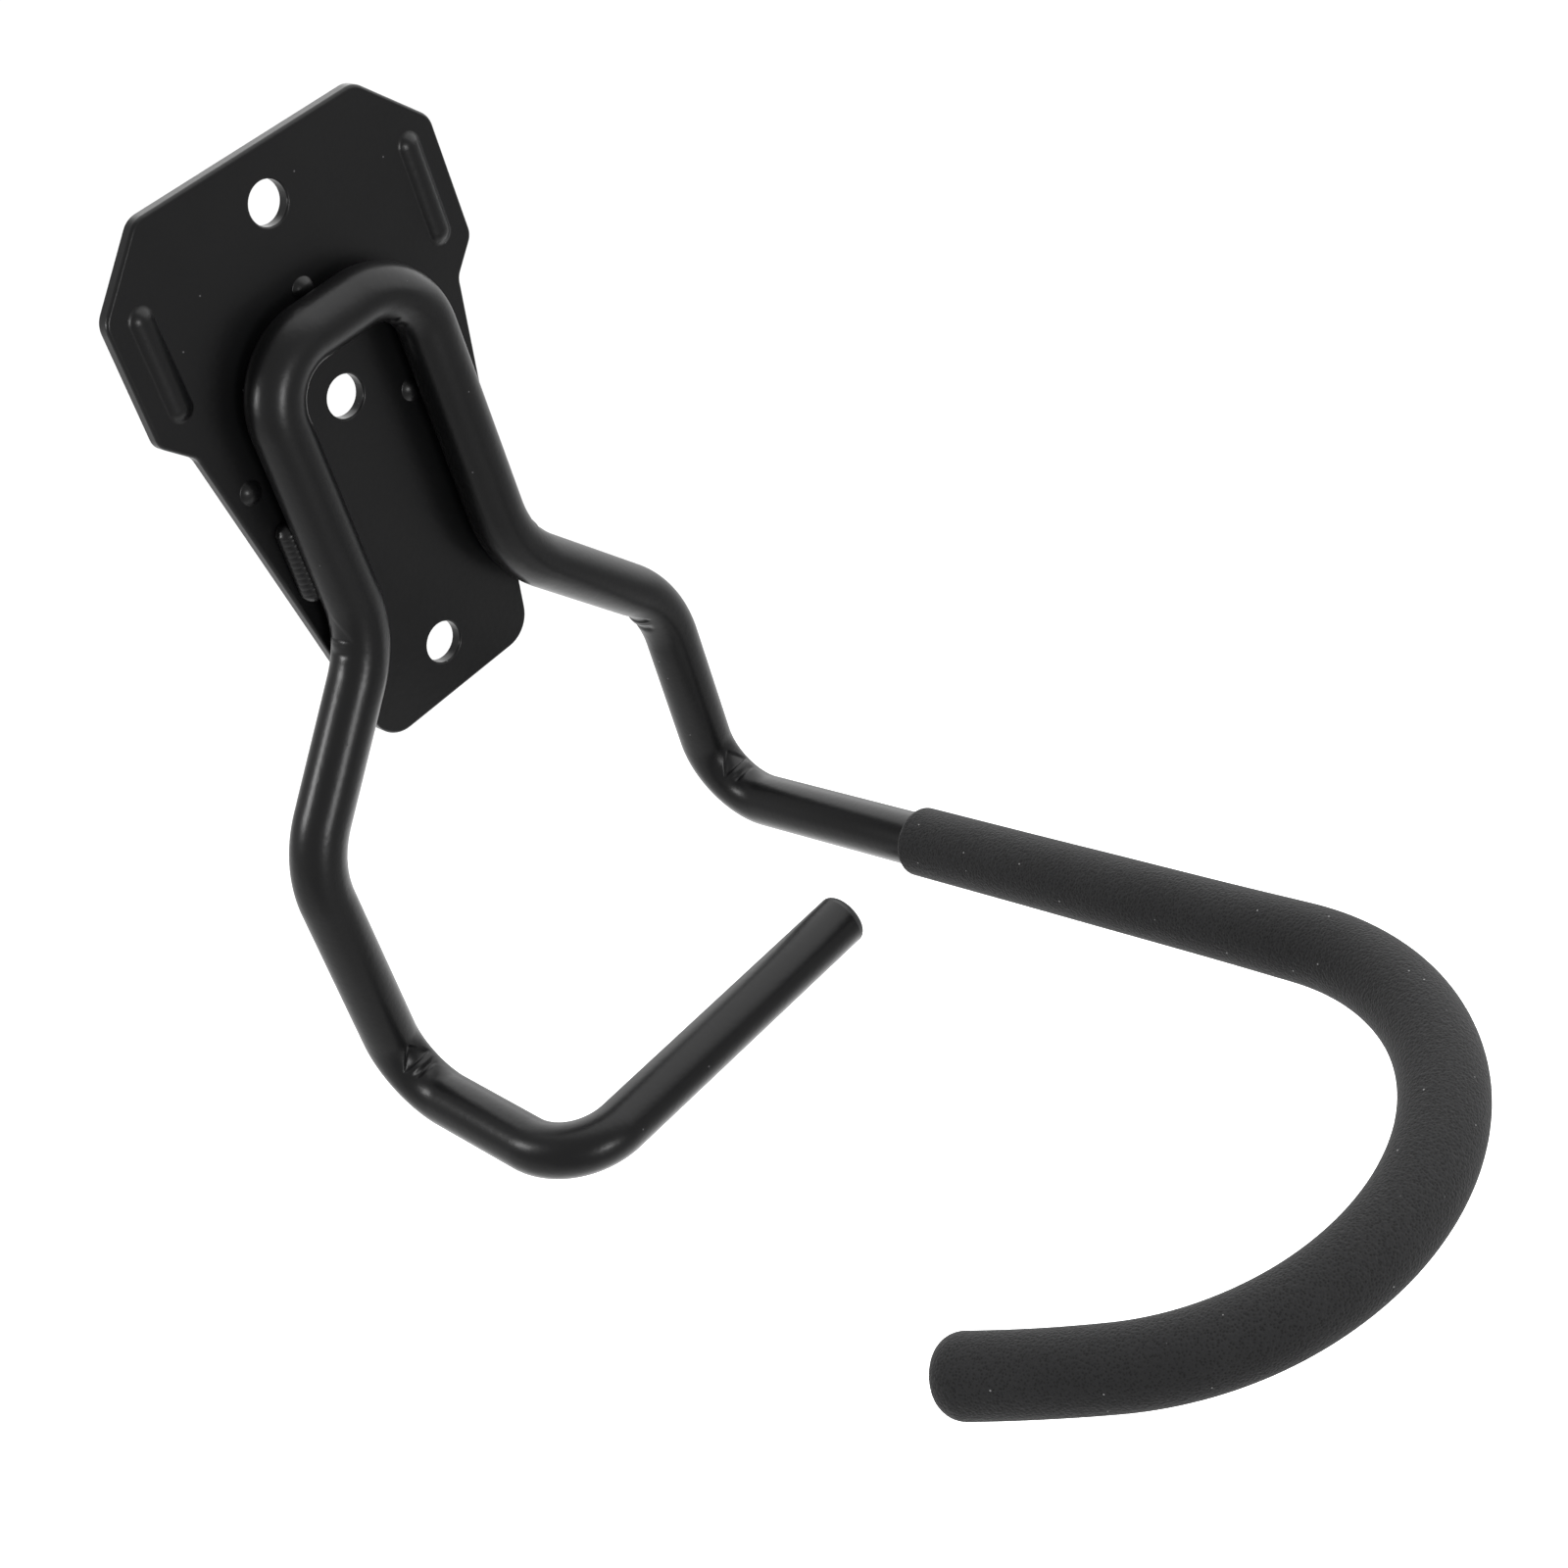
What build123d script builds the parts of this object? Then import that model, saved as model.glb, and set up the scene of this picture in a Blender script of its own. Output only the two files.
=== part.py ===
from build123d import *
import os
from math import cos, degrees, radians, sin, sqrt, tan

# Bicycle storage hook: a stamped wall plate, one bent tube welded to it, a foam sleeve
# over the tube's hook and a plug in the tube's free end.
# Millimetres. The wall is the plane Y = 0 and the hook reaches out along -Y, +Z is up.
# The origin is the middle screw hole's centre on the plate's back face.

# Wall plate, seen from the front
plate_thickness = 2.2
head_width = 69.5
head_top = 45.0
head_chamfer = 11.75
shoulder_height = 11.25
waist_width = 59.0
waist_height = 6.0
foot_width = 35.5
foot_bottom = 61.0
head_corner_radius = 4.0
shoulder_corner_radius = 3.0
foot_corner_radius = 6.0
plate_edge_radius = 0.6

# Screw holes on the plate's centre line
screw_hole_diameter = 7.5
upper_hole_rise = 35.75
lower_hole_drop = 51.0
hole_rim_radius = 0.4

# Stiffening ribs pressed out of the head, one near each upright side
rib_width = 4.4
rib_height = 1.0
rib_length = 20.0
rib_blend_radius = 0.8
rib_margin = 6.0
rib_centre_height = 23.0

# Round pips pressed out of the plate, which locate the tube for welding
pip_diameter = 4.2
pip_height = 0.9
pip_blend_radius = 0.2
pip_tuck = 1.0
outer_pip_gap = 1.8
inner_pip_drop = 6.0
outer_pip_drop = 4.25

# Tube
tube_diameter = 10.0
tube_wall = 1.2
weld_gap = 0.1
u_leg_spacing = 33.0
u_top_height = 16.25
left_leg_drop = 36.5
right_leg_drop = 40.5
splay_spacing = 88.0
left_splay_drop = 66.8
right_splay_drop = 70.5
u_bend_radius = 11.5
splay_bend_radius = 22.0
arm_bend_radius = 12.0

# Short arm and its cross bar, where the tyre rests
short_arm_drop = 118.5
short_arm_length = 43.7
short_arm_fall_angle = 2.5
cross_bar_reach = 29.4
cross_bar_fall_angle = 1.2

# Long arm and its hook, where the wheel rim hangs
long_arm_drop = 117.0
long_arm_length = 138.7
long_arm_rise_angle = 6.3
hook_radius = 46.6
hook_turn_angle = 148.0
hook_roll_angle = 1.0
tail_radius = 215.0
tail_length = 27.0

# Foam sleeve over the hook
foam_wall = 1.5
foam_clearance = 0.1
foam_start = 53.5
foam_end_wall = 3.0
foam_lip_radius = 1.0
foam_tip_depth = 5.0
foam_tip_radius = 4.8

# Plug in the cross bar's free end
plug_head_thickness = 1.5
plug_head_radius = 1.1
plug_shank_length = 9.0
plug_clearance = 0.1
plug_lead_in = 0.8

# Weld beads
bead_radius = 2.2
bead_offset = 4.1
bead_centre_height = 1.1
leg_bead_length = 11.0
leg_bead_centre_drop = 19.5
top_bead_length = 5.5

# Sizes that follow from the ones above
tube_radius = tube_diameter / 2
bore_radius = tube_radius - tube_wall
foam_radius = tube_radius + foam_clearance + foam_wall
tube_centre_y = -(plate_thickness + weld_gap + tube_radius)
half_head = head_width / 2
half_waist = waist_width / 2
half_foot = foot_width / 2
half_u = u_leg_spacing / 2
half_splay = splay_spacing / 2
flatness = 0.01


def plate_outline():
    """The plate's flat outline on the wall plane, with every corner rounded."""
    right_side = [
        (half_head - head_chamfer, head_top),
        (half_head, head_top - head_chamfer),
        (half_head, shoulder_height),
        (half_waist, waist_height),
        (half_foot, -foot_bottom),
    ]
    left_side = [(-x, z) for x, z in reversed(right_side)]
    radii = [head_corner_radius] * 2 + [shoulder_corner_radius] * 2 + [foot_corner_radius]
    corner_radii = radii + radii[::-1]
    with BuildSketch(Plane.XZ) as outline:
        with BuildLine():
            FilletPolyline(*right_side, *left_side, radius=corner_radii, close=True)
        make_face()
    return outline.sketch


def dome_radius(width, height):
    """The radius of the arc that is this wide and this high."""
    return (width**2 / 4 + height**2) / (2 * height)


def front_half_space():
    """A block that holds everything in front of the plate's front face."""
    depth = head_width
    return Location((0, -plate_thickness - depth / 2, 0)) * Box(2 * head_width, depth, 4 * head_top)


def rib(centre_x):
    """A rib as pressed from flat sheet: the bulge in front and the matching hollow behind."""
    bulge_radius = dome_radius(rib_width, rib_height)
    hollow_radius = bulge_radius - plate_thickness
    axis_y = -plate_thickness + bulge_radius - rib_height
    half_run = rib_length / 2 - rib_width / 2
    ends = [Location((centre_x, axis_y, rib_centre_height + s * half_run)) for s in (-1, 1)]
    middle = Location((centre_x, axis_y, rib_centre_height))

    def capsule(radius):
        """A rod with ball ends along the rib."""
        rod = middle * Cylinder(radius, 2 * half_run)
        return rod + [end * Sphere(radius) for end in ends]

    return capsule(bulge_radius) & front_half_space(), capsule(hollow_radius)


def pip_places():
    """Pip centres: one above the U's top bar, one on each side of each leg."""
    inner_reach = tube_radius - pip_tuck
    outer_reach = tube_radius + outer_pip_gap
    places = [(0, u_top_height + inner_reach)]
    for side in (-1, 1):
        places.append((side * (half_u - inner_reach), -inner_pip_drop))
        places.append((side * (half_u + outer_reach), -outer_pip_drop))
    return places


def front_edges_near(plate, x, z, reach):
    """The edges that lie wholly in the plate's front face and within reach of a point."""
    centre = Vector(x, -plate_thickness, z)
    chosen = []
    for edge in plate.edges():
        points = [edge @ 0, edge @ 0.5, edge @ 1]
        flat = all(abs(point.Y + plate_thickness) < flatness for point in points)
        near = all((point - centre).length < reach for point in points)
        if flat and near:
            chosen.append(edge)
    return chosen


def wall_plate():
    """The stamped plate with its screw holes, ribs and pips."""
    plate = extrude(plate_outline(), plate_thickness)
    front_edges = plate.faces().sort_by(Axis.Y)[0].edges()
    plate = fillet(front_edges, plate_edge_radius)
    for x in (-(half_head - rib_margin), half_head - rib_margin):
        bulge, hollow = rib(x)
        plate = plate + bulge
        foot = front_edges_near(plate, x, rib_centre_height, rib_length / 2 + flatness)
        plate = fillet(foot, rib_blend_radius) - hollow
    ball_radius = dome_radius(pip_diameter, pip_height)
    for x, z in pip_places():
        ball = Location((x, ball_radius - plate_thickness - pip_height, z)) * Sphere(ball_radius)
        dimple = Location((x, ball_radius - pip_height, z)) * Sphere(ball_radius)
        plate = plate + (ball & front_half_space())
        foot = front_edges_near(plate, x, z, pip_diameter / 2 + flatness)
        plate = fillet(foot, pip_blend_radius) - dimple
    for z in (upper_hole_rise, 0, -lower_hole_drop):
        hole = Plane.XZ * Pos(0, z) * Cylinder(screw_hole_diameter / 2, 4 * plate_thickness)
        plate = plate - hole
        rim = front_edges_near(plate, 0, z, screw_hole_diameter / 2 + flatness)
        plate = fillet(rim, hole_rim_radius)
    return plate


def hook_plane():
    """The plane of the hook's curl: its X runs out along the long arm, its Y towards the curl."""
    rise = radians(long_arm_rise_angle)
    roll = radians(hook_roll_angle)
    along = Vector(0, -cos(rise), sin(rise))
    sideways = Vector(-cos(roll), 0, -sin(roll))
    normal = along.cross(sideways)
    elbow = Vector(half_splay, tube_centre_y, -long_arm_drop)
    return Plane(origin=elbow + along * long_arm_length, x_dir=along, z_dir=normal)


def hook_curl(end_shortening):
    """The hook's arc and its gentler tail, which stops short of the tip by the given length."""
    tail_angle = degrees((tail_length - end_shortening) / tail_radius)
    with BuildLine(hook_plane()) as curl:
        arc = JernArc((0, 0), (1, 0), hook_radius, hook_turn_angle)
        JernArc(arc @ 1, arc % 1, tail_radius, tail_angle)
    return curl.line


def tube_path():
    """The tube's centre line, from the cross bar's free end to the hook's tip."""
    y = tube_centre_y
    arm_end_y = y - short_arm_length
    arm_end_z = -short_arm_drop - short_arm_length * tan(radians(short_arm_fall_angle))
    bar_end_x = cross_bar_reach - plug_head_thickness
    bar_end_z = arm_end_z - (half_splay + bar_end_x) * tan(radians(cross_bar_fall_angle))
    corners = [
        (bar_end_x, arm_end_y, bar_end_z),
        (-half_splay, arm_end_y, arm_end_z),
        (-half_splay, y, -short_arm_drop),
        (-half_splay, y, -left_splay_drop),
        (-half_u, y, -left_leg_drop),
        (-half_u, y, u_top_height),
        (half_u, y, u_top_height),
        (half_u, y, -right_leg_drop),
        (half_splay, y, -right_splay_drop),
        (half_splay, y, -long_arm_drop),
        tuple(hook_plane().origin),
    ]
    radii = [arm_bend_radius] * 2
    radii += [splay_bend_radius] * 2
    radii += [u_bend_radius] * 2
    radii += [splay_bend_radius] * 2
    radii += [arm_bend_radius]
    run = FilletPolyline(*corners, radius=radii)
    return Wire(run.edges() + hook_curl(foam_end_wall).edges())


def rod_along(path, radius):
    """A solid round bar of the given radius along a path."""
    start = Plane(origin=path @ 0, z_dir=path % 0)
    return sweep(start * Circle(radius), path=path)


def hook_tube():
    """The bent tube, hollow from end to end."""
    path = tube_path()
    return rod_along(path, tube_radius) - rod_along(path, bore_radius)


def foam_path(end_shortening):
    """The stretch of the tube that the foam covers."""
    plane = hook_plane()
    arm_start = plane.origin - plane.x_dir * (long_arm_length - foam_start)
    arm = Line(arm_start, plane.origin)
    return Wire(arm.edges() + hook_curl(end_shortening).edges())


def end_rim(body, point):
    """The edge round the flat end of a bar whose centre is at the given point."""
    return body.faces().sort_by_distance(point)[0].edges()


def foam_sleeve():
    """The foam sleeve: open at the arm, closed and rounded over the hook's tip."""
    path = foam_path(foam_tip_depth)
    tip = Cylinder(foam_radius, foam_tip_depth, align=(Align.CENTER, Align.CENTER, Align.MIN))
    tip = fillet(tip.edges().sort_by(Axis.Z)[-1], foam_tip_radius)
    skin = rod_along(path, foam_radius)
    skin = fillet(end_rim(skin, path @ 0), foam_lip_radius)
    skin = skin + Plane(origin=path @ 1, z_dir=path % 1) * tip
    bore = rod_along(foam_path(foam_end_wall - foam_clearance), tube_radius + foam_clearance)
    return skin - bore


def end_plug():
    """The push-in plug: a head as wide as the tube and a shank in its bore."""
    path = tube_path()
    free_end = Plane(origin=path @ 0, x_dir=(0, 1, 0), z_dir=-(path % 0))
    head = Cylinder(tube_radius, plug_head_thickness, align=(Align.CENTER, Align.CENTER, Align.MIN))
    head = fillet(head.edges().sort_by(Axis.Z)[-1], plug_head_radius)
    shank = Cylinder(
        bore_radius - plug_clearance,
        plug_shank_length,
        align=(Align.CENTER, Align.CENTER, Align.MAX),
    )
    shank = chamfer(shank.edges().sort_by(Axis.Z)[0], plug_lead_in)
    return free_end * (head + shank)


def bead(start, end, outward):
    """One fillet weld along the tube from start to end, on the side that outward points to."""
    along = (end - start).normalized()
    length = (end - start).length
    section = Plane(origin=start, x_dir=outward, z_dir=along)
    lift = tube_radius + weld_gap - bead_centre_height
    toward_wall = 1 if section.y_dir.Y > 0 else -1
    round_bar = Pos(bead_offset, toward_wall * lift) * Cylinder(
        bead_radius, length, align=(Align.CENTER, Align.CENTER, Align.MIN)
    )
    round_bar = round_bar + [
        Pos(bead_offset, toward_wall * lift, height) * Sphere(bead_radius) for height in (0, length)
    ]
    tube_core = Cylinder(tube_radius, 3 * length)
    bar = section * round_bar - section * tube_core
    behind = Box(4 * half_head, 2 * tube_diameter, 4 * half_head)
    return bar - Location((0, tube_diameter - plate_thickness, 0)) * behind


def weld_beads():
    """The welds: one down the outer side of each leg and one under the U's top bar."""
    y = tube_centre_y
    beads = []
    for side in (-1, 1):
        top = Vector(side * half_u, y, -leg_bead_centre_drop + leg_bead_length / 2)
        bottom = Vector(side * half_u, y, -leg_bead_centre_drop - leg_bead_length / 2)
        beads.append(bead(bottom, top, Vector(side, 0, 0)))
    left = Vector(-top_bead_length / 2, y, u_top_height)
    right = Vector(top_bead_length / 2, y, u_top_height)
    beads.append(bead(left, right, Vector(0, 0, -1)))
    return Compound(children=[solid for one in beads for solid in one.solids()])


nodes = {
    "wall_plate": wall_plate(),
    "hook_tube": hook_tube(),
    "weld_beads": weld_beads(),
    "foam_sleeve": foam_sleeve(),
    "end_plug": end_plug(),
}

os.makedirs("parts", exist_ok=True)
for name, solid in nodes.items():
    export_step(solid, f"parts/{name}.step")
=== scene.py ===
from math import cos, pi, radians, sin, tan

import bpy
from mathutils import Matrix, Vector


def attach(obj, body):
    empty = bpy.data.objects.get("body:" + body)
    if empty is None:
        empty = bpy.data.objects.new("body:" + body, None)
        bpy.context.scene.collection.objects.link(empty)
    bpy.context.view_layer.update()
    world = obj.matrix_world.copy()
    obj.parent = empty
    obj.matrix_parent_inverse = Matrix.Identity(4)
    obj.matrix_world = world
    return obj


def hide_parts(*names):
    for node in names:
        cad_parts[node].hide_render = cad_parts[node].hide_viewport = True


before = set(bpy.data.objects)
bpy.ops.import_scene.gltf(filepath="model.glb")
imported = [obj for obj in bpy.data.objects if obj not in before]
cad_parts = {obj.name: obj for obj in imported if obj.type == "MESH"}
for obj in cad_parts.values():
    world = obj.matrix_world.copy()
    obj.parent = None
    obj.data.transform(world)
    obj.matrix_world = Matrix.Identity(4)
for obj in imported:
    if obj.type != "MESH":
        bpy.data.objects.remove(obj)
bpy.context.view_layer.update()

# Sizes of the object, in millimetres and degrees, as in the model's source
MM = 0.001
PLATE_THICKNESS = 2.2
TUBE_RADIUS = 5.0
WELD_GAP = 0.1
TUBE_CENTRE_Y = -(PLATE_THICKNESS + WELD_GAP + TUBE_RADIUS)
HALF_U = 16.5
U_TOP_HEIGHT = 16.25
LEFT_LEG_DROP = 36.5
RIGHT_LEG_DROP = 40.5
HALF_SPLAY = 44.0
LEFT_SPLAY_DROP = 66.8
RIGHT_SPLAY_DROP = 70.5
U_BEND_RADIUS = 11.5
SPLAY_BEND_RADIUS = 22.0
ARM_BEND_RADIUS = 12.0
SHORT_ARM_DROP = 118.5
SHORT_ARM_LENGTH = 43.7
SHORT_ARM_FALL_ANGLE = 2.5
CROSS_BAR_REACH = 29.4
CROSS_BAR_FALL_ANGLE = 1.2
PLUG_HEAD_THICKNESS = 1.5
LONG_ARM_DROP = 117.0
LONG_ARM_LENGTH = 138.7
LONG_ARM_RISE_ANGLE = 6.3
HOOK_RADIUS = 46.6
HOOK_TURN_ANGLE = 148.0
HOOK_ROLL_ANGLE = 1.0
TAIL_RADIUS = 215.0
TAIL_LENGTH = 27.0
FOAM_START = 53.5
FOAM_RADIUS = 6.6
FOAM_END_WALL = 3.0
FOAM_LIP_RADIUS = 1.0
FOAM_TIP_RADIUS = 4.8
WELD_RADIUS = 2.2
WELD_OFFSET = 4.1
WELD_CENTRE_HEIGHT = 1.1
LEG_WELD_LENGTH = 11.0
LEG_WELD_CENTRE_DROP = 19.5
TOP_WELD_LENGTH = 5.5

# How strongly each corner of the tube's route is crimped, and how far up its leg in millimetres.
# Corners count from the cross bar's free end. The route climbs the left leg and comes down the right.
CRIMPS = {
    1: (0.6, 0.0),
    2: (1.0, 0.7),
    3: (0.6, 0.0),
    4: (0.3, 0.0),
    5: (0.6, 0.0),
    6: (0.7, 0.0),
    7: (0.5, 0.5),
    8: (0.8, 2.0),
    9: (1.0, -0.3),
}
LAST_LEFT_CORNER = 5
ELBOW, HOOK = 9, 10

# The crimp's pattern in millimetres: a flat triangle that points up the leg, a ridge, an oval dent
# and a slight flat. It fades out where the tube's surface turns away from the bend's inner side.
TRIANGLE_TIP = 7.6
TRIANGLE_BASE = 1.2
TRIANGLE_HALF_WIDTH = 3.6
TRIANGLE_EDGE = 0.8
TRIANGLE_DEPTH = 0.42
TRIANGLE_TIP_SHARE = 0.55
RIDGE_PLACE = -0.5
RIDGE_HALF_WIDTH = 0.5
RIDGE_ENDS = (2.6, 3.8)
RIDGE_HEIGHT = 0.10
DENT_PLACE = -2.1
DENT_HALF_WIDTH = 0.8
DENT_ENDS = (1.6, 3.2)
DENT_DEPTH = 0.36
FLAT_REACH = 6.0
FLAT_DEPTH = 0.15
CRIMP_FADE = (0.0, 0.3)

# The foam's skin in millimetres: a little thinner than the sleeve, to leave room for a swell that is
# fullest at its lead before the hook's middle, and uneven in waves of about 1 / FOAM_WAVE_SCALE metres
FOAM_SWELL_ROOM = 0.25
FOAM_SWELL = 0.45
FOAM_SWELL_REACH = 60.0
FOAM_SWELL_LEAD = 20.0
FOAM_UNEVENNESS = 0.3
FOAM_WAVE_SCALE = 28.0

# The ripples on the welds in millimetres
WELD_RIPPLE = 1.1
WELD_RIPPLE_DEPTH = 0.06
RINGS_PER_RIPPLE = 10

# How finely the pieces are divided
TUBE_ARC_POINTS = 80
TUBE_SIDES = 96
FOAM_ARC_POINTS = 90
FOAM_RING_SPACING = 0.3
FOAM_SIDES = 64
WELD_SIDES = 40

# The finishes: grain scales are in features per metre, grain heights in millimetres.
# A speck is solid over its core, a share of its radius. The cells that hold one are picked sharply.
SPECK_CORE = 0.6
SHARE_EDGE = 0.001

# Powder coat: its blacks, its mottle, its orange peel and its dust
COAT_SHADES = (0.0028, 0.0028, 0.0030, 1), (0.0042, 0.0042, 0.0045, 1)
COAT_SPECULAR = 0.25
COAT_ROUGHNESS = 0.29
MOTTLE_SCALE = 60.0
MOTTLE_ROUGHNESS = 0.06
PEEL_SCALE = 900.0
PEEL_HEIGHT = 0.03
DUST_SHADE = (0.08, 0.08, 0.082, 1)
DUST_SCALE = 300.0
DUST_SIZE = 0.054
DUST_SHARE = 0.35
DUST_ROUGHNESS = 0.3
DUST_HEIGHT = 0.8

# Foam: its greys, its cells and pits, painted shade darkening each cell's sunken middle, its pale
# flecks and its soft sheen
FOAM_SHADES = (0.0085, 0.0085, 0.0090, 1), (0.0148, 0.0148, 0.0154, 1)
FOAM_SPECULAR = 0.3
FOAM_SHEEN = 0.06
FOAM_SHEEN_ROUGHNESS = 0.5
FOAM_ROUGHNESS = 0.80
PATCH_SCALE = 90.0
CELL_SCALE = 2200.0
# Painted shade for the foam cells' sunken middles
CELL_MIDDLE_PAINTED_SHADE = (0.002, 0.002, 0.002, 1)
CELL_EDGE = (0.1, 0.55)
CELL_HEIGHT = 0.7
PIT_SCALE = 1500.0
PIT_ROUGHNESS = 0.15
FOAM_BUMP_HEIGHT = 0.16
FLECK_SHADE = (0.22, 0.22, 0.22, 1)
FLECK_SCALE = 420.0
FLECK_SIZE = 0.075
FLECK_SHARE = 0.4

# Plug plastic: its blacks and its moulded grain
PLUG_SHADES = (0.010, 0.010, 0.011, 1), (0.016, 0.016, 0.017, 1)
PLUG_ROUGHNESS = 0.46
GRAIN_SCALE = 1500.0
GRAIN_ROUGHNESS = 0.1
GRAIN_HEIGHT = 0.03

# The camera, solved from the photograph's edges: its place in metres, its turn and its lens
CAMERA_PLACE = (-0.20628, -0.34974, 0.19497)
CAMERA_ROWS = (
    (0.643377, 0.587091, -0.491314),
    (-0.726287, 0.265203, -0.634172),
    (-0.242019, 0.764847, 0.597023),
)
CAMERA_LENS = 60.75
SENSOR_WIDTH = 36.0
NEAREST_SEEN = 0.01
FARTHEST_SEEN = 20.0

# The surround: the way to the middle of its bright side, the cosines from there at which the light
# begins and is full, and its strength on the dim and on the bright side
BRIGHT_WAY = (0.874, 0.123, 0.469)
BRIGHT_EDGE = (0.35, 0.62)
DIM_GLOW = 0.65
BRIGHT_GLOW = 2.6

# The floor in metres: its glow under the object and behind it, and how far out it joins the surround.
# FLOOR_LIT is what the surround's light makes of the floor's grey.
FLOOR_HEIGHT = -0.45
FLOOR_REACH = 6.0
FLOOR_SHADE = (0.36, 0.36, 0.36, 1)
FLOOR_ROUGHNESS = 0.9
FLOOR_LIT = 0.52
UNDER_GLOW_CENTRE = (0.10, 0.05, FLOOR_HEIGHT)
UNDER_GLOW_REACH = 0.35
UNDER_GLOW = 1.5
REAR_GLOW_EDGE = (-0.5, -0.12)
REAR_GLOW = 0.5
JOIN_EDGE = (2.0, 5.0)

# The two small soft lights: place and size in metres, power in watts
SOFT_LIGHTS = {
    "front_light": ((-0.36, -1.45, 0.02), 0.30, 8.0),
    "left_light": ((-0.284, 0.098, 0.106), 0.07, 0.5),
}
LIGHTS_AIM = (0, -0.09, -0.05)


# Shader and geometry maths written as Python expressions
class Value:
    """One output socket, with the operators that the materials and shapes use."""

    def __init__(self, nodes, socket):
        self.nodes = nodes
        self.socket = socket

    def math(self, operation, other=None):
        """A Math node on this value, with up to one more operand."""
        operands = [v for v in (self, other) if v is not None]
        return self.nodes.add("ShaderNodeMath", {"operation": operation}, dict(enumerate(operands)))

    def __add__(self, other):
        return self.math("ADD", other)

    def __radd__(self, other):
        return self.math("ADD", other)

    def __sub__(self, other):
        return self.math("SUBTRACT", other)

    def __rsub__(self, other):
        return (self * -1) + other

    def __mul__(self, other):
        return self.math("MULTIPLY", other)

    def __rmul__(self, other):
        return self.math("MULTIPLY", other)

    def __truediv__(self, other):
        return self.math("DIVIDE", other)

    def __pow__(self, other):
        return self.math("POWER", other)

    def __neg__(self):
        return self * -1

    def __abs__(self):
        return self.math("ABSOLUTE")

    def floor_at(self, low):
        return self.math("MAXIMUM", low)

    def root(self):
        return self.math("SQRT")

    def gauss(self):
        """e to the power of minus this value squared."""
        return (self * self * -1).math("EXPONENT")

    def step(self, low, high):
        """0 below low, 1 above high and a smooth rise between them."""
        inputs = {"Value": self, "From Min": low, "From Max": high}
        return self.nodes.add("ShaderNodeMapRange", {"interpolation_type": "SMOOTHSTEP"}, inputs)


class Nodes:
    """A node tree with one method that adds any node."""

    def __init__(self, tree):
        self.tree = tree

    def add(self, kind, settings=None, inputs=None, output=0):
        """Adds a node: settings first, then values or links by socket name or number."""
        node = self.tree.nodes.new(kind)
        for name, value in (settings or {}).items():
            setattr(node, name, value)
        for key, value in (inputs or {}).items():
            socket = self.find(node.inputs, key)
            if isinstance(value, Value):
                self.tree.links.new(value.socket, socket)
            else:
                socket.default_value = value
        return Value(self, self.find(node.outputs, output))

    def vector(self, operation, first, second, output="Vector"):
        """A Vector Math node on a first vector and a second one, or a factor for SCALE."""
        operands = {0: first, 3 if operation == "SCALE" else 1: second}
        return self.add("ShaderNodeVectorMath", {"operation": operation}, operands, output)

    @staticmethod
    def find(sockets, key):
        """The enabled socket of that name, or the socket at that place."""
        if isinstance(key, int):
            return sockets[key]
        return next(s for s in sockets if s.name == key and s.enabled)

    def link(self, value, node, name):
        self.tree.links.new(value.socket, self.find(node.inputs, name))


# Materials
def new_material(name, constants):
    """A material with its nodes, its shader with its constant values, and its Object coordinates."""
    material = bpy.data.materials.new(name)
    material.use_nodes = True
    nodes = Nodes(material.node_tree)
    shader = material.node_tree.nodes["Principled BSDF"]
    for label, value in constants.items():
        shader.inputs[label].default_value = value
    place = nodes.add("ShaderNodeTexCoord", output="Object")
    return material, nodes, shader, place


def noise(nodes, place, scale, detail=2.0):
    """Smooth noise from 0 to 1 with features about 1 / scale metres wide."""
    return nodes.add("ShaderNodeTexNoise", {}, {"Vector": place, "Scale": scale, "Detail": detail})


def specks(nodes, place, scale, size, share):
    """Round dots: 1 inside, 0 outside, in the given share of the cells of a 3-D grid."""
    cell = {"Vector": place, "Scale": scale, "Randomness": 1.0}
    distance = nodes.add("ShaderNodeTexVoronoi", {"feature": "F1"}, cell, "Distance")
    colour = nodes.add("ShaderNodeTexVoronoi", {"feature": "F1"}, cell, "Color")
    chance = nodes.add("ShaderNodeSeparateColor", {}, {"Color": colour}, "Red")
    dot = 1 - distance.step(size * SPECK_CORE, size)
    return dot * chance.step(1 - share, 1 + SHARE_EDGE - share)


def mix_colours(nodes, factor, first, second):
    """A blend of two colours or colour outputs, through the colour sockets of a Mix node."""
    settings = {"data_type": "RGBA"}
    return nodes.add("ShaderNodeMix", settings, {"Factor": factor, 6: first, 7: second}, 2)


def bump(nodes, shader, height, distance):
    """A bump of the given height in millimetres on the shader's normal."""
    inputs = {"Height": height, "Distance": distance * MM, "Strength": 1.0}
    nodes.link(nodes.add("ShaderNodeBump", {}, inputs, "Normal"), shader, "Normal")


def powder_coat():
    """Semi-gloss black powder coat: a faint orange peel and a little dust."""
    material, nodes, shader, place = new_material("powder_coat", {"Specular IOR Level": COAT_SPECULAR})
    mottle = noise(nodes, place, MOTTLE_SCALE, detail=3.0)
    peel = noise(nodes, place, PEEL_SCALE)
    dust = specks(nodes, place, DUST_SCALE, DUST_SIZE, DUST_SHARE)
    shade = mix_colours(nodes, mottle, *COAT_SHADES)
    nodes.link(mix_colours(nodes, dust, shade, DUST_SHADE), shader, "Base Color")
    roughness = COAT_ROUGHNESS + mottle * MOTTLE_ROUGHNESS + dust * DUST_ROUGHNESS
    nodes.link(roughness, shader, "Roughness")
    bump(nodes, shader, peel + dust * DUST_HEIGHT, PEEL_HEIGHT)
    return material


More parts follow.
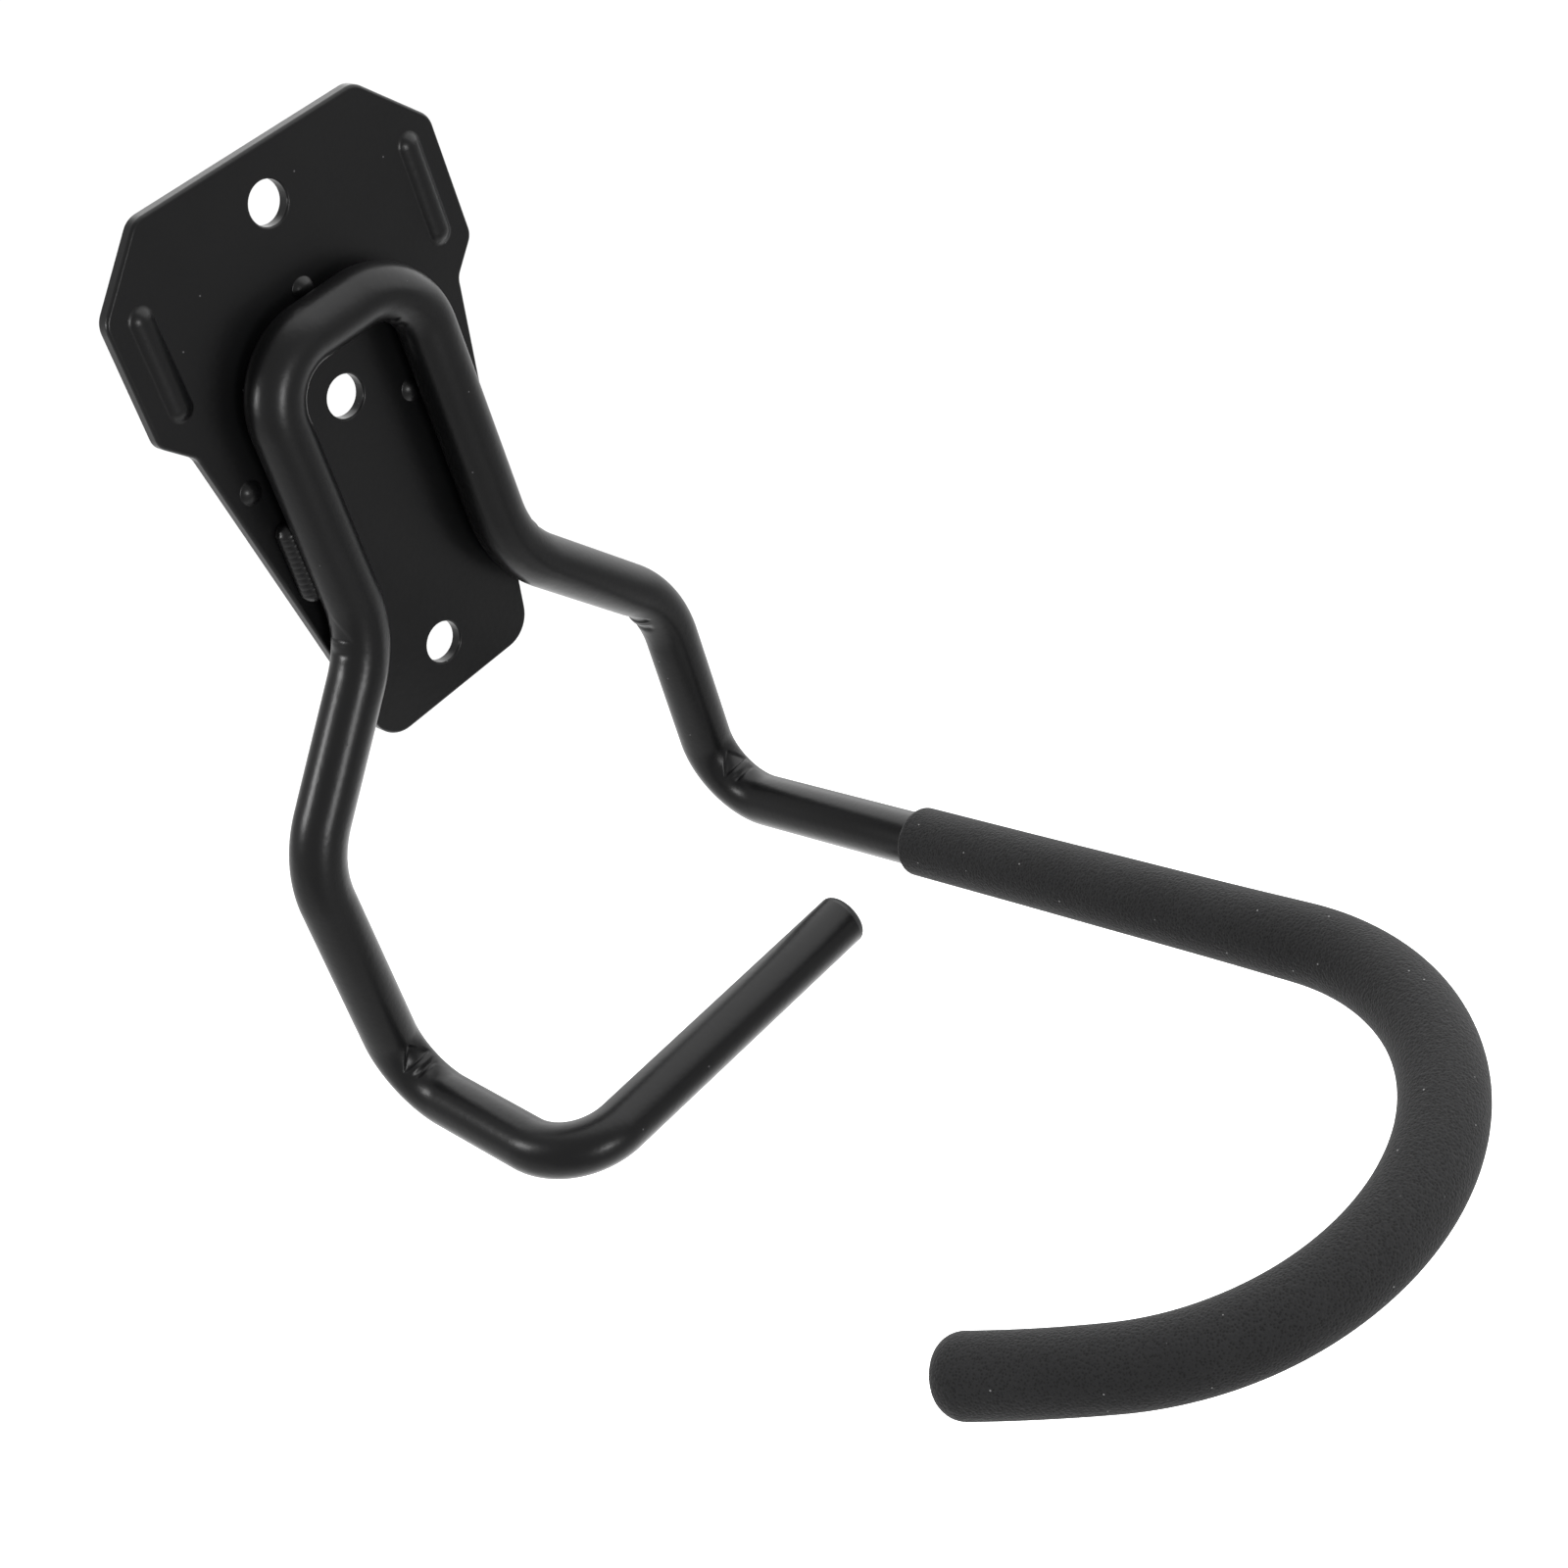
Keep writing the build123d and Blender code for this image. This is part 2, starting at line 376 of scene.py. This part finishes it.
def foam_rubber():
    """Closed-cell black foam: matte, finely pitted, with painted shade in each cell's sunken middle
    and tiny pale flecks.
    """
    material, nodes, shader, place = new_material(
        "foam",
        {
            "Specular IOR Level": FOAM_SPECULAR,
            "Sheen Weight": FOAM_SHEEN,
            "Sheen Roughness": FOAM_SHEEN_ROUGHNESS,
        },
    )
    inputs = {"Vector": place, "Scale": CELL_SCALE}
    cells = nodes.add("ShaderNodeTexVoronoi", {"feature": "F1"}, inputs, "Distance")
    pits = noise(nodes, place, PIT_SCALE, detail=3.0)
    patches = noise(nodes, place, PATCH_SCALE, detail=3.0)
    flecks = specks(nodes, place, FLECK_SCALE, FLECK_SIZE, FLECK_SHARE)
    shade = mix_colours(nodes, patches, *FOAM_SHADES)
    # Painted shade: each cell's middle, where the bump sinks it, is darkened to near black
    shade = mix_colours(nodes, cells.step(*CELL_EDGE), CELL_MIDDLE_PAINTED_SHADE, shade)
    nodes.link(mix_colours(nodes, flecks, shade, FLECK_SHADE), shader, "Base Color")
    nodes.link(FOAM_ROUGHNESS + pits * PIT_ROUGHNESS, shader, "Roughness")
    bump(nodes, shader, cells * CELL_HEIGHT + pits, FOAM_BUMP_HEIGHT)
    return material


def plug_plastic():
    """Satin black plastic with a fine moulded grain."""
    material, nodes, shader, place = new_material("plug_plastic", {})
    grain = noise(nodes, place, GRAIN_SCALE)
    nodes.link(mix_colours(nodes, grain, *PLUG_SHADES), shader, "Base Color")
    nodes.link(PLUG_ROUGHNESS + grain * GRAIN_ROUGHNESS, shader, "Roughness")
    bump(nodes, shader, grain, GRAIN_HEIGHT)
    return material


def surround_glow(nodes, way):
    """How bright the surround is in a direction: one broad side is bright, like a large soft light."""
    nearness = nodes.vector("DOT_PRODUCT", way, BRIGHT_WAY, "Value")
    return DIM_GLOW + nearness.step(*BRIGHT_EDGE) * (BRIGHT_GLOW - DIM_GLOW)


def studio_floor():
    """Plain pale floor, lit from below under the object and as bright as the surround far away."""
    material, nodes, shader, place = new_material(
        "studio_floor",
        {
            "Base Color": FLOOR_SHADE,
            "Roughness": FLOOR_ROUGHNESS,
            "Specular IOR Level": 0.0,
            "Emission Strength": 1.0,
        },
    )
    depth = nodes.add("ShaderNodeSeparateXYZ", {}, {"Vector": place}, "Y")
    distance = nodes.vector("DISTANCE", place, UNDER_GLOW_CENTRE, "Value")
    under = (distance / UNDER_GLOW_REACH).gauss() * UNDER_GLOW
    near_glow = depth.step(*REAR_GLOW_EDGE) * REAR_GLOW + under
    way = nodes.add("ShaderNodeVectorMath", {"operation": "NORMALIZE"}, {0: place}, "Vector")
    far = distance.step(*JOIN_EDGE)
    # Far away the glow makes up what the lit grey lacks
    glow = near_glow * (1 - far) + (surround_glow(nodes, way) - FLOOR_LIT) * far
    nodes.link(glow, shader, "Emission Color")
    return material


def pale_surround():
    """A plain surround with the large soft light in it."""
    world = bpy.data.worlds.new("surround")
    world.use_nodes = True
    nodes = Nodes(world.node_tree)
    background = world.node_tree.nodes["Background"]
    way = nodes.add("ShaderNodeTexCoord", output="Generated")
    nodes.link(surround_glow(nodes, way), background, "Strength")
    background.inputs["Color"].default_value = (1, 1, 1, 1)
    return world


# The tube's route
def hook_corners():
    """Corner points and bend radii from the free end to the hook's tip."""
    y = TUBE_CENTRE_Y
    arm_y = y - SHORT_ARM_LENGTH
    arm_z = -SHORT_ARM_DROP - SHORT_ARM_LENGTH * tan(radians(SHORT_ARM_FALL_ANGLE))
    bar_end_x = CROSS_BAR_REACH - PLUG_HEAD_THICKNESS
    bar_end_z = arm_z - (HALF_SPLAY + bar_end_x) * tan(radians(CROSS_BAR_FALL_ANGLE))
    rise = radians(LONG_ARM_RISE_ANGLE)
    roll = radians(HOOK_ROLL_ANGLE)
    along = Vector((0, -cos(rise), sin(rise)))
    sideways = Vector((-cos(roll), 0, -sin(roll)))
    sideways = (sideways - along * sideways.dot(along)).normalized()
    elbow = Vector((HALF_SPLAY, y, -LONG_ARM_DROP))
    turn = radians(HOOK_TURN_ANGLE)
    hook_reach = HOOK_RADIUS * tan(turn / 2)
    hook_corner = elbow + along * (LONG_ARM_LENGTH + hook_reach)
    leaving = along * cos(turn) + sideways * sin(turn)
    tail_turn = (TAIL_LENGTH - FOAM_TIP_RADIUS) / TAIL_RADIUS
    tail_reach = TAIL_RADIUS * tan(tail_turn / 2)
    tail_corner = hook_corner + leaving * (hook_reach + tail_reach)
    tip_way = along * cos(turn + tail_turn) + sideways * sin(turn + tail_turn)
    tip = tail_corner + tip_way * (tail_reach + FOAM_TIP_RADIUS)
    return [
        (Vector((bar_end_x, arm_y, bar_end_z)), 0),
        (Vector((-HALF_SPLAY, arm_y, arm_z)), ARM_BEND_RADIUS),
        (Vector((-HALF_SPLAY, y, -SHORT_ARM_DROP)), ARM_BEND_RADIUS),
        (Vector((-HALF_SPLAY, y, -LEFT_SPLAY_DROP)), SPLAY_BEND_RADIUS),
        (Vector((-HALF_U, y, -LEFT_LEG_DROP)), SPLAY_BEND_RADIUS),
        (Vector((-HALF_U, y, U_TOP_HEIGHT)), U_BEND_RADIUS),
        (Vector((HALF_U, y, U_TOP_HEIGHT)), U_BEND_RADIUS),
        (Vector((HALF_U, y, -RIGHT_LEG_DROP)), SPLAY_BEND_RADIUS),
        (Vector((HALF_SPLAY, y, -RIGHT_SPLAY_DROP)), SPLAY_BEND_RADIUS),
        (elbow, ARM_BEND_RADIUS),
        (hook_corner, HOOK_RADIUS),
        (tail_corner, TAIL_RADIUS),
        (tip, 0),
    ]


class Route:
    """The tube's centre line in metres, with the length travelled to each bend's middle."""

    def __init__(self, corners):
        self.points = [point * MM for point, radius in corners]
        self.radii = [radius * MM for point, radius in corners]
        self.middles = [0.0] * len(corners)
        self.exits = [0.0] * len(corners)
        self.inner_ways = [Vector((0, 0, 0)) for corner in corners]
        self.hinges = [Vector((0, 0, 0)) for corner in corners]
        travelled, last_tangent = 0.0, 0.0
        for i in range(1, len(corners) - 1):
            before = (self.points[i] - self.points[i - 1]).normalized()
            after = (self.points[i + 1] - self.points[i]).normalized()
            half_turn = before.angle(after) / 2
            tangent = self.radii[i] * tan(half_turn)
            travelled += (self.points[i] - self.points[i - 1]).length - last_tangent - tangent
            self.middles[i] = travelled + self.radii[i] * half_turn
            travelled += 2 * self.radii[i] * half_turn
            self.exits[i] = travelled - tangent
            self.inner_ways[i] = (after - before).normalized()
            self.hinges[i] = before.cross(after).normalized()
            last_tangent = tangent
        self.length = travelled + (self.points[-1] - self.points[-2]).length - last_tangent

    def past_corner(self, i, distance):
        """The length travelled at a distance past a corner, on the straight run that follows it."""
        return self.exits[i] + distance

    def mesh(self):
        """The route as a line mesh whose points know how their bend is made."""
        mesh = bpy.data.meshes.new("route")
        mesh.from_pydata(self.points, [(i, i + 1) for i in range(len(self.points) - 1)], [])
        crimps = [CRIMPS.get(i, (0, 0)) for i in range(len(self.points))]
        up_ways = [1 if i <= LAST_LEFT_CORNER else -1 for i in range(len(self.points))]
        numbers = {
            "bend_radius": self.radii,
            "crimp_middle": [m + up * c[1] * MM for m, up, c in zip(self.middles, up_ways, crimps)],
            "crimp": [up * c[0] for up, c in zip(up_ways, crimps)],
        }
        for name, values in numbers.items():
            mesh.attributes.new(name, "FLOAT", "POINT").data.foreach_set("value", values)
        for name, ways in {"inner_way": self.inner_ways, "hinge": self.hinges}.items():
            flat = [component for way in ways for component in way]
            mesh.attributes.new(name, "FLOAT_VECTOR", "POINT").data.foreach_set("vector", flat)
        return mesh


# Geometry trees
class Shape(Nodes):
    """A geometry tree with named inputs, made for one kind of piece."""

    def __init__(self, name, inputs):
        super().__init__(bpy.data.node_groups.new(name, "GeometryNodeTree"))
        face = self.tree.interface
        face.new_socket("Geometry", in_out="INPUT", socket_type="NodeSocketGeometry")
        for label, kind in inputs.items():
            face.new_socket(label, in_out="INPUT", socket_type="NodeSocket" + kind)
        face.new_socket("Geometry", in_out="OUTPUT", socket_type="NodeSocketGeometry")
        self.entry = self.tree.nodes.new("NodeGroupInput")
        self.exit = self.tree.nodes.new("NodeGroupOutput")

    def input(self, label):
        return Value(self, self.entry.outputs[label])

    def named(self, label, kind="FLOAT"):
        """A stored attribute, read by its name."""
        settings = {"data_type": kind}
        return self.add("GeometryNodeInputNamedAttribute", settings, {"Name": label}, "Attribute")

    def store(self, geometry, label, value, kind="FLOAT"):
        """The geometry with a value stored on its points under a name."""
        inputs = {"Geometry": geometry, "Name": label, "Value": value}
        return self.add("GeometryNodeStoreNamedAttribute", {"data_type": kind}, inputs)

    def along(self, output):
        """How far along its curve a point is."""
        return self.add("GeometryNodeSplineParameter", {}, {}, output)

    def finish(self, geometry):
        """Ends the tree in plain geometry with the piece's own material."""
        geometry = self.add("GeometryNodeRealizeInstances", {}, {"Geometry": geometry})
        geometry = self.add("GeometryNodeSetShadeSmooth", {}, {"Geometry": geometry})
        inputs = {"Geometry": geometry, "Material": self.input("Material")}
        geometry = self.add("GeometryNodeSetMaterial", {}, inputs)
        self.link(geometry, self.exit, "Geometry")
        return self.tree


def grown_piece(name, mesh, tree, values):
    """The plain mesh that a geometry tree makes from a starting mesh and its input values."""
    seed = bpy.data.objects.new(name + "_seed", mesh)
    bpy.context.collection.objects.link(seed)
    modifier = seed.modifiers.new("shape", "NODES")
    modifier.node_group = tree
    for item in tree.interface.items_tree:
        if item.in_out == "INPUT" and item.name in values:
            modifier[item.identifier] = values[item.name]
    grown = seed.evaluated_get(bpy.context.evaluated_depsgraph_get())
    result = bpy.data.meshes.new_from_object(grown)
    bpy.data.objects.remove(seed)
    piece = bpy.data.objects.new(name, result)
    bpy.context.collection.objects.link(piece)
    return piece


def rounded_route(shape, arc_points):
    """The route's corners turned into arcs, with the length travelled stored on every point."""
    line = shape.add("GeometryNodeMeshToCurve", {}, {"Mesh": shape.input("Geometry")})
    inputs = {"Curve": line, "Count": arc_points, "Radius": shape.named("bend_radius")}
    rounded = shape.add("GeometryNodeFilletCurve", {"mode": "POLY"}, inputs)
    return shape.store(rounded, "travelled", shape.along("Length"))


def cut_route(shape, path, start, end):
    """The stretch of a path between two lengths travelled."""
    return shape.add("GeometryNodeTrimCurve", {"mode": "LENGTH"}, {"Curve": path, 4: start, 5: end})


def skin_on(shape, path, radius, sides):
    """A closed round skin on a path, with a radius that may change along it."""
    ring = shape.add("GeometryNodeCurvePrimitiveCircle", {}, {"Resolution": sides, "Radius": 1.0})
    inputs = {"Curve": path, "Profile Curve": ring, "Scale": radius, "Fill Caps": True}
    return shape.add("GeometryNodeCurveToMesh", {}, inputs)


def rounding(distance, size):
    """How far a skin is pulled in at a distance from an end that is rounded by this size."""
    inside = (size - distance).floor_at(0.0)
    return size - (size * size - inside * inside).floor_at(0.0).root()


def crimp_depth(shape):
    """How deep the inner side of a bend is pressed in by the bending tool, in metres."""
    normal = shape.add("GeometryNodeInputNormal")
    crimp = shape.named("crimp")
    facing = shape.vector("DOT_PRODUCT", normal, shape.named("inner_way", "FLOAT_VECTOR"), "Value")
    sideways = shape.vector("DOT_PRODUCT", normal, shape.named("hinge", "FLOAT_VECTOR"), "Value")
    across = abs(sideways.math("ARCSINE")) * TUBE_RADIUS
    uphill = shape.named("from_middle") / MM * crimp.math("SIGN")
    taper = (TRIANGLE_TIP - uphill) / (TRIANGLE_TIP - TRIANGLE_BASE)
    inside = taper * TRIANGLE_HALF_WIDTH - across
    triangle = inside.step(0.0, TRIANGLE_EDGE)
    triangle = triangle * uphill.step(TRIANGLE_BASE - TRIANGLE_EDGE, TRIANGLE_BASE)
    triangle = triangle * (TRIANGLE_TIP_SHARE + taper * (1 - TRIANGLE_TIP_SHARE)) * TRIANGLE_DEPTH
    ridge = ((uphill - RIDGE_PLACE) / RIDGE_HALF_WIDTH).gauss() * (1 - across.step(*RIDGE_ENDS))
    dent = ((uphill - DENT_PLACE) / DENT_HALF_WIDTH).gauss() * (1 - across.step(*DENT_ENDS))
    flat = (uphill / FLAT_REACH).gauss() * facing.floor_at(0.0) ** 2
    depth = triangle - ridge * RIDGE_HEIGHT + dent * DENT_DEPTH + flat * FLAT_DEPTH
    return depth * facing.step(*CRIMP_FADE) * abs(crimp) * MM


def bent_tube_tree():
    """A tube along the route, crimped on the inner side of each bend."""
    kinds = {"Radius": "Float", "End": "Float", "Arc Points": "Int", "Sides": "Int"}
    shape = Shape("bent_tube", kinds | {"Material": "Material"})
    corners = shape.input("Geometry")
    path = rounded_route(shape, shape.input("Arc Points"))
    path = cut_route(shape, path, 0.0, shape.input("End"))
    # Each point of the path learns how its nearest bend is made
    nearest = shape.add("GeometryNodeSampleNearest", {"domain": "POINT"}, {"Geometry": corners})

    def of_bend(label, kind="FLOAT"):
        inputs = {"Geometry": corners, "Value": shape.named(label, kind), "Index": nearest}
        return shape.add("GeometryNodeSampleIndex", {"data_type": kind}, inputs)

    path = shape.store(path, "from_middle", shape.named("travelled") - of_bend("crimp_middle"))
    path = shape.store(path, "inner_way", of_bend("inner_way", "FLOAT_VECTOR"), "FLOAT_VECTOR")
    path = shape.store(path, "hinge", of_bend("hinge", "FLOAT_VECTOR"), "FLOAT_VECTOR")
    path = shape.store(path, "crimp", of_bend("crimp"))
    tube = skin_on(shape, path, shape.input("Radius"), shape.input("Sides"))
    pressed_in = shape.vector("SCALE", shape.add("GeometryNodeInputNormal"), -crimp_depth(shape))
    tube = shape.add("GeometryNodeSetPosition", {}, {"Geometry": tube, "Offset": pressed_in})
    return shape.finish(tube)


def foam_grip_tree():
    """A soft sleeve on the route, rounded at both ends, a little uneven and fuller in the hook."""
    sizes = ["Radius", "Start", "End", "Spacing", "Lip Radius", "Tip Radius"]
    sizes += ["Swell", "Swell Middle", "Swell Reach", "Unevenness", "Wave Scale"]
    kinds = {label: "Float" for label in sizes}
    kinds |= {"Arc Points": "Int", "Sides": "Int", "Material": "Material"}
    shape = Shape("foam_grip", kinds)
    path = rounded_route(shape, shape.input("Arc Points"))
    path = cut_route(shape, path, shape.input("Start"), shape.input("End"))
    inputs = {"Curve": path, "Length": shape.input("Spacing")}
    path = shape.add("GeometryNodeResampleCurve", {"mode": "LENGTH"}, inputs)
    done = shape.along("Length")
    left = shape.add("GeometryNodeSplineLength", {}, {}, "Length") - done
    place = shape.add("GeometryNodeInputPosition")
    wave = noise(shape, place, shape.input("Wave Scale"), detail=1.0) - 0.5
    past_swell = shape.named("travelled") - shape.input("Swell Middle")
    swell = (past_swell / shape.input("Swell Reach")).gauss()
    skin = shape.input("Radius") + swell * shape.input("Swell") + wave * shape.input("Unevenness")
    skin = skin - rounding(done, shape.input("Lip Radius")) - rounding(left, shape.input("Tip Radius"))
    return shape.finish(skin_on(shape, path, skin, shape.input("Sides")))


def weld_bead_tree():
    """A rippled bead of weld metal along each line, with round ends."""
    kinds = {label: "Float" for label in ("Radius", "Ripple", "Ripple Depth")}
    shape = Shape("weld_bead", kinds | {"Sides": "Int", "Material": "Material"})
    line = shape.add("GeometryNodeMeshToCurve", {}, {"Mesh": shape.input("Geometry")})
    inputs = {"Curve": line, "Length": shape.input("Ripple") / RINGS_PER_RIPPLE}
    path = shape.add("GeometryNodeResampleCurve", {"mode": "LENGTH"}, inputs)
    done = shape.along("Length")
    left = shape.add("GeometryNodeSplineLength", {}, {}, "Length") - done
    radius = shape.input("Radius")
    wave = abs((done / shape.input("Ripple") * pi).math("SINE")) - 1
    skin = radius + wave * shape.input("Ripple Depth")
    skin = skin - rounding(done, radius) - rounding(left, radius)
    return shape.finish(skin_on(shape, path, skin, shape.input("Sides")))


def weld_lines():
    """The welds' centre lines: one along the outer side of each leg and one under the top bar."""
    y = -(PLATE_THICKNESS + WELD_CENTRE_HEIGHT)
    leg_x = HALF_U + WELD_OFFSET
    half_leg = LEG_WELD_LENGTH / 2 + WELD_RADIUS
    half_top = TOP_WELD_LENGTH / 2 + WELD_RADIUS
    top_z = U_TOP_HEIGHT - WELD_OFFSET
    points = [(-half_top, y, top_z), (half_top, y, top_z)]
    for x in (-leg_x, leg_x):
        points += [(x, y, -LEG_WELD_CENTRE_DROP - half_leg), (x, y, -LEG_WELD_CENTRE_DROP + half_leg)]
    mesh = bpy.data.meshes.new("weld_lines")
    mesh.from_pydata([Vector(point) * MM for point in points], [(0, 1), (2, 3), (4, 5)], [])
    return mesh


# Camera and light
def look_from_photo():
    """The camera of the photograph."""
    camera = bpy.data.cameras.new("camera")
    camera.sensor_width = SENSOR_WIDTH
    camera.lens = CAMERA_LENS
    camera.clip_start = NEAREST_SEEN
    camera.clip_end = FARTHEST_SEEN
    holder = bpy.data.objects.new("camera", camera)
    holder.matrix_world = Matrix.Translation(Vector(CAMERA_PLACE)) @ Matrix(CAMERA_ROWS).to_4x4()
    bpy.context.collection.objects.link(holder)
    bpy.context.scene.camera = holder


def soft_light(name, place, size, power):
    """A square area light that faces the object and doesn't show itself."""
    light = bpy.data.lights.new(name, "AREA")
    light.size = size
    light.energy = power
    holder = bpy.data.objects.new(name, light)
    holder.location = place
    holder.rotation_euler = (Vector(LIGHTS_AIM) - Vector(place)).to_track_quat("-Z", "Y").to_euler()
    holder.visible_camera = False
    bpy.context.collection.objects.link(holder)


def studio():
    """Pale floor, a pale surround and two small soft lights that draw the highlights."""
    mesh = bpy.data.meshes.new("studio_floor")
    signs = ((-1, -1), (1, -1), (1, 1), (-1, 1))
    corners = [(x * FLOOR_REACH, y * FLOOR_REACH, FLOOR_HEIGHT) for x, y in signs]
    mesh.from_pydata(corners, [], [(0, 1, 2, 3)])
    floor = bpy.data.objects.new("studio_floor", mesh)
    bpy.context.collection.objects.link(floor)
    mesh.materials.append(studio_floor())
    bpy.context.scene.world = pale_surround()
    bpy.context.scene.view_settings.view_transform = "Standard"
    for name, (place, size, power) in SOFT_LIGHTS.items():
        soft_light(name, place, size, power)


coat = powder_coat()
foam = foam_rubber()
plastic = plug_plastic()

route = Route(hook_corners())
tube = grown_piece(
    "bent_tube",
    route.mesh(),
    bent_tube_tree(),
    {
        "Radius": TUBE_RADIUS * MM,
        "End": route.length - FOAM_END_WALL * MM,
        "Arc Points": TUBE_ARC_POINTS,
        "Sides": TUBE_SIDES,
        "Material": coat,
    },
)
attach(tube, "root")
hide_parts("hook_tube")

welds = grown_piece(
    "weld_ripples",
    weld_lines(),
    weld_bead_tree(),
    {
        "Radius": WELD_RADIUS * MM,
        "Ripple": WELD_RIPPLE * MM,
        "Ripple Depth": WELD_RIPPLE_DEPTH * MM,
        "Sides": WELD_SIDES,
        "Material": coat,
    },
)
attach(welds, "root")
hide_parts("weld_beads")

grip = grown_piece(
    "foam_grip",
    route.mesh(),
    foam_grip_tree(),
    {
        "Radius": (FOAM_RADIUS - FOAM_SWELL_ROOM) * MM,
        "Start": route.past_corner(ELBOW, FOAM_START * MM),
        "End": route.length,
        "Spacing": FOAM_RING_SPACING * MM,
        "Arc Points": FOAM_ARC_POINTS,
        "Sides": FOAM_SIDES,
        "Lip Radius": FOAM_LIP_RADIUS * MM,
        "Tip Radius": FOAM_TIP_RADIUS * MM,
        "Swell": FOAM_SWELL * MM,
        "Swell Middle": route.middles[HOOK] - FOAM_SWELL_LEAD * MM,
        "Swell Reach": FOAM_SWELL_REACH * MM,
        "Unevenness": FOAM_UNEVENNESS * MM,
        "Wave Scale": FOAM_WAVE_SCALE,
        "Material": foam,
    },
)
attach(grip, "root")
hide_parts("foam_sleeve")

for node, material in (("wall_plate", coat), ("end_plug", plastic)):
    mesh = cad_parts[node].data
    mesh.materials.clear()
    mesh.materials.append(material)

look_from_photo()
studio()
